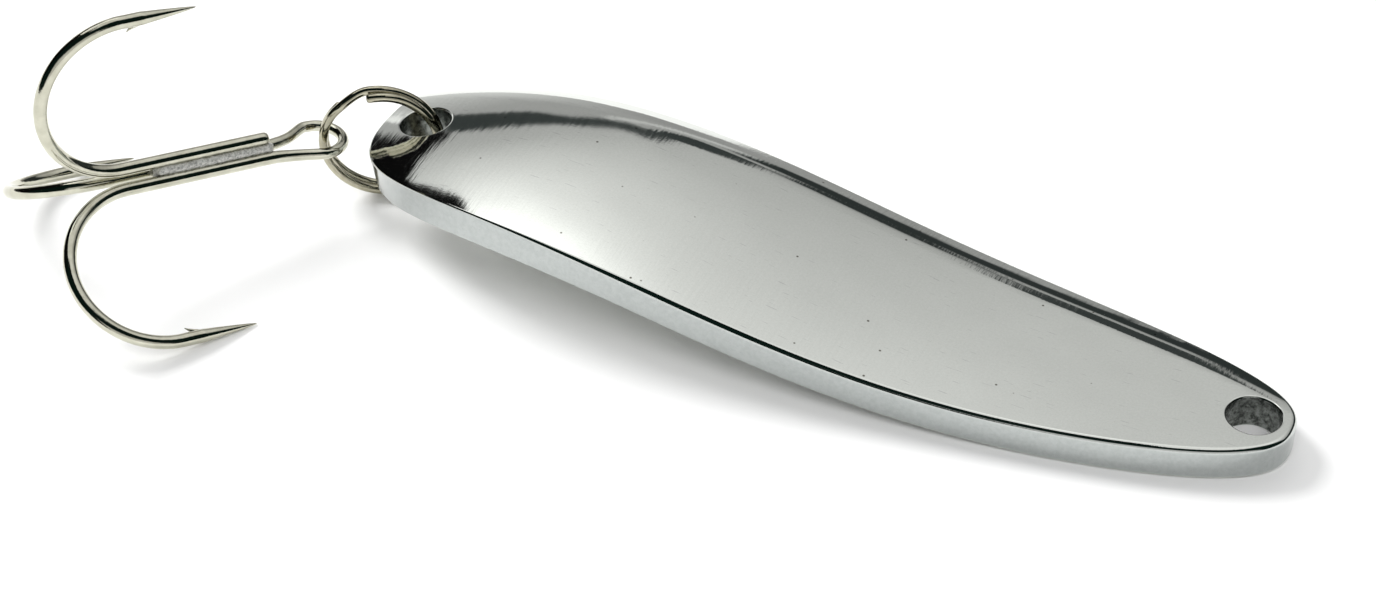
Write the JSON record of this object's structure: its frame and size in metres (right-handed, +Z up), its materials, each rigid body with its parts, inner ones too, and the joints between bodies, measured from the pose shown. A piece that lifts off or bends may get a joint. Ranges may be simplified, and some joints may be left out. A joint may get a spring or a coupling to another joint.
{
  "type": "spoon lure",
  "caption": "Casting spoon lure: a curved metal spoon with a line-tie hole in front and a split ring holding a treble hook behind.",
  "frame": {"origin": "bottom centre of the whole lure's box, on the surface that the lure rests on", "axes": "+X along the spoon towards its line-tie end, +Z up"},
  "size_m": [0.086, 0.0328, 0.0191],
  "materials": {
    "spoon_chrome": "mirror plating over a stamped brass blank, with fine polishing marks",
    "ring_nickel": "nickel-plated spring wire, slightly warm",
    "hook_nickel": "nickel-plated hook wire, bright, slightly warm",
    "braze": "rough grey brazing metal"
  },
  "bodies": {
    "spoon": {"spoon_body": "spoon_chrome"},
    "ring": {"split_ring": "ring_nickel"},
    "treble": {"double_hook": "hook_nickel", "single_hook": "hook_nickel", "brazed_core": "braze"}
  },
  "joints": [
    {"name": "ring_turn", "type": "hinge", "parent": "spoon", "child": "ring", "pos_m": [-0.02099, 0.00646, 0.00456], "axis": [-0.4226, 0.9063, 0], "range_deg": [-75, 85]},
    {"name": "hook_swing", "type": "hinge", "parent": "ring", "child": "treble", "pos_m": [-0.02457, 0.00479, 0.00456], "axis": [0, 0, 1], "range_deg": [-115, 50]}
  ]
}
